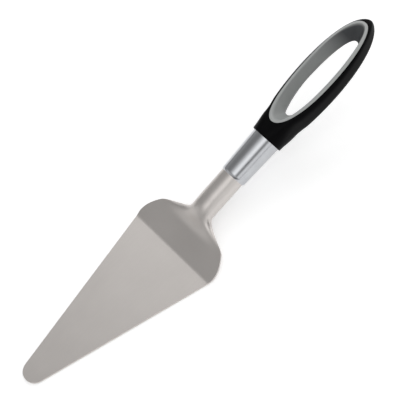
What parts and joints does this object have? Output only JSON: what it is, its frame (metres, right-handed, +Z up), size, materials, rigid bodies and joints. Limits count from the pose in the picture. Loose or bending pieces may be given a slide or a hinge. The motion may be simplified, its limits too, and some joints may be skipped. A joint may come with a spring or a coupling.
{
  "type": "cake server",
  "caption": "Cake server: a tapered flat steel blade stepped up to a rolled neck, a polished ferrule and an open loop handle with a soft liner.",
  "frame": {"origin": "centre of the bounding box, on the plane of the flat blade's underside", "axes": "+X from the tip of the blade to the end of the handle, +Y to the left seen from the handle, +Z up, out of the blade's upper face"},
  "size_m": [0.2694, 0.0642, 0.0453],
  "materials": {
    "satin_steel": "fine satin, blasted",
    "plain_steel": "as machined",
    "polished_steel": "polished",
    "black_plastic": "smooth, glossy",
    "soft_grey": "soft touch, matte"
  },
  "bodies": {
    "root": {"blade": "satin_steel", "tang": "plain_steel", "tang_pin": "plain_steel", "ferrule": "polished_steel", "handle_body": "black_plastic", "grip_liner": "soft_grey"}
  },
  "joints": []
}
